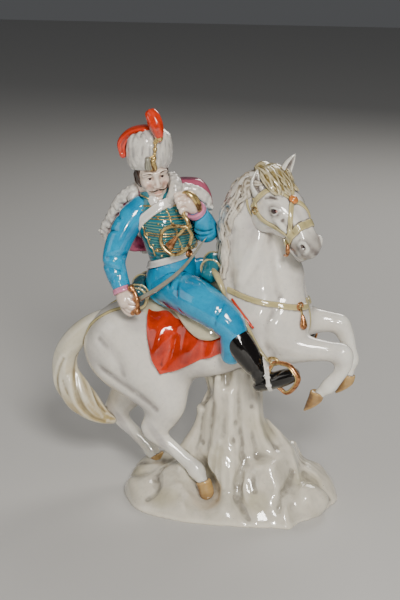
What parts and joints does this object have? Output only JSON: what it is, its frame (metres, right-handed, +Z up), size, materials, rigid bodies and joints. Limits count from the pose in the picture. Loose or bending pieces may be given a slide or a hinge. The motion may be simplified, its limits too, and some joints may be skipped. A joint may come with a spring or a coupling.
{
  "type": "equestrian porcelain statuette",
  "caption": "Glazed porcelain statuette of a hussar trumpeter on a rearing horse, carried by a tree stump on a rocky oval base.",
  "frame": {"origin": "middle of the flat underside of the base, on the surface that it stands on", "axes": "+X the way the horse faces, +Y to the horse's left, +Z up"},
  "size_m": [0.196, 0.1035, 0.2498],
  "materials": {
    "glazed_porcelain": "glossy clear glaze over painted porcelain"
  },
  "bodies": {
    "root": {"statuette": "glazed_porcelain"}
  },
  "joints": []
}
